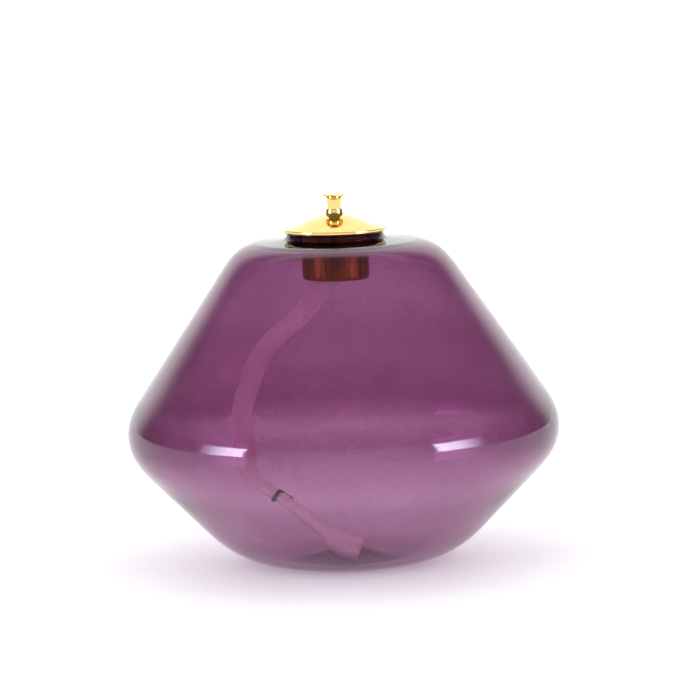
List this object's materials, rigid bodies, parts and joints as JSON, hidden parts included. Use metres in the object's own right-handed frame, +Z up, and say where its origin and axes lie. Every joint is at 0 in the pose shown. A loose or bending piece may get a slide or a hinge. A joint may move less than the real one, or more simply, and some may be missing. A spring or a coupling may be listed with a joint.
{
  "type": "oil lamp",
  "caption": "Table oil lamp: a purple blown-glass reservoir with a rounded double-cone body, a drop-in brass burner with a domed cap, and a loose cotton wick.",
  "frame": {"origin": "on the base plane, under the centre of the reservoir's widest ring", "axes": "+Z up along the lamp; +Y away from the front, +X to the right; the wick bends towards -X"},
  "size_m": [0.1398, 0.1398, 0.1202],
  "materials": {
    "purple_glass": "clear, glossy, fire-polished",
    "polished_brass": "mirror-polished, lacquered",
    "drawn_brass": "plain drawn sheet, satin",
    "cotton_wick": "loosely braided cotton",
    "black_thread": "sewing thread"
  },
  "bodies": {
    "reservoir": {"glass_reservoir": "purple_glass", "wick_binding": "black_thread"},
    "burner": {"burner_cap": "polished_brass", "wick_tube": "polished_brass", "tube_ferrule": "polished_brass", "burner_skirt": "drawn_brass", "skirt_washer": "drawn_brass", "lock_nut": "drawn_brass", "wick_tail": "cotton_wick"},
    "wick": {"wick_upper": "cotton_wick"}
  },
  "joints": [
    {"name": "burner_lift", "type": "slide", "parent": "reservoir", "child": "burner", "axis": [0, 0, 1], "range_m": [0, 0.025], "deforming": ["wick_tail"]},
    {"name": "wick_feed", "type": "slide", "parent": "burner", "child": "wick", "axis": [0, 0, 1], "range_m": [0, 0.005]}
  ]
}
